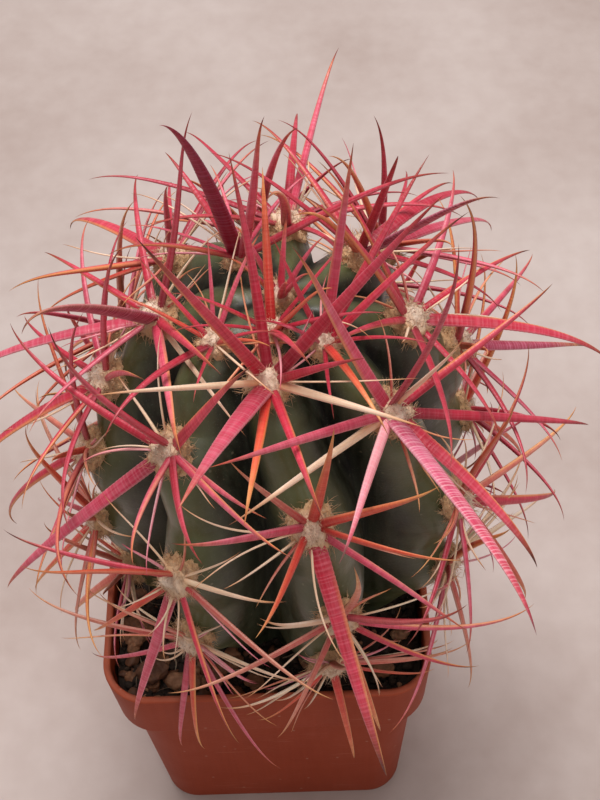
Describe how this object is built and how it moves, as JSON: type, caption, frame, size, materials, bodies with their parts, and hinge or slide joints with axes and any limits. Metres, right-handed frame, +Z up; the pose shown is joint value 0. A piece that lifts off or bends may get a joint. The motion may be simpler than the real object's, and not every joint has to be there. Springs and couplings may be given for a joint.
{
  "type": "potted round cactus",
  "caption": "Ribbed barrel cactus with clusters of long curved pink-red spines, standing in gravelly soil in a square tapered plastic pot.",
  "frame": {"origin": "middle of the underside of the pot's foot, at floor level", "axes": "+Z up; -Y is the front of the pot that the plant shows best; +X to the right seen from the front"},
  "size_m": [0.1604, 0.1724, 0.2664],
  "materials": {
    "terracotta_plastic": "matte moulded plastic with fine scratches and dust",
    "green_skin": "waxy grey-green plant skin with a paler bloom on the ridges",
    "red_spines": "horny banded spines, crimson to tan, in cream wool",
    "dark_soil": "damp crumbly potting soil",
    "gravel": "dull rounded gravel"
  },
  "bodies": {
    "root": {"crown_tuft": "red_spines", "pot": "terracotta_plastic", "soil": "dark_soil", "spine_cluster_1a": "red_spines", "spine_cluster_1b": "red_spines", "spine_cluster_1c": "red_spines", "spine_cluster_1d": "red_spines", "spine_cluster_1e": "red_spines", "spine_cluster_2a": "red_spines", "spine_cluster_2b": "red_spines", "spine_cluster_2c": "red_spines", "spine_cluster_2d": "red_spines", "spine_cluster_3a": "red_spines", "spine_cluster_3b": "red_spines", "spine_cluster_3c": "red_spines", "spine_cluster_3d": "red_spines", "spine_cluster_4a": "red_spines", "spine_cluster_4b": "red_spines", "spine_cluster_4c": "red_spines", "spine_cluster_4d": "red_spines", "spine_cluster_5a": "red_spines", "spine_cluster_5b": "red_spines", "spine_cluster_5c": "red_spines", "spine_cluster_5d": "red_spines", "spine_cluster_6a": "red_spines", "spine_cluster_6b": "red_spines", "spine_cluster_6c": "red_spines", "spine_cluster_6d": "red_spines", "spine_cluster_7a": "red_spines", "spine_cluster_7b": "red_spines", "spine_cluster_7c": "red_spines", "spine_cluster_7d": "red_spines", "spine_cluster_7e": "red_spines", "spine_cluster_8a": "red_spines", "spine_cluster_8b": "red_spines", "spine_cluster_8c": "red_spines", "spine_cluster_8d": "red_spines", "stem": "green_skin", "stone_01": "gravel", "stone_02": "gravel", "stone_03": "gravel", "stone_04": "gravel", "stone_05": "gravel", "stone_06": "gravel", "stone_07": "gravel", "stone_08": "gravel", "stone_09": "gravel", "stone_10": "gravel"}
  },
  "joints": []
}
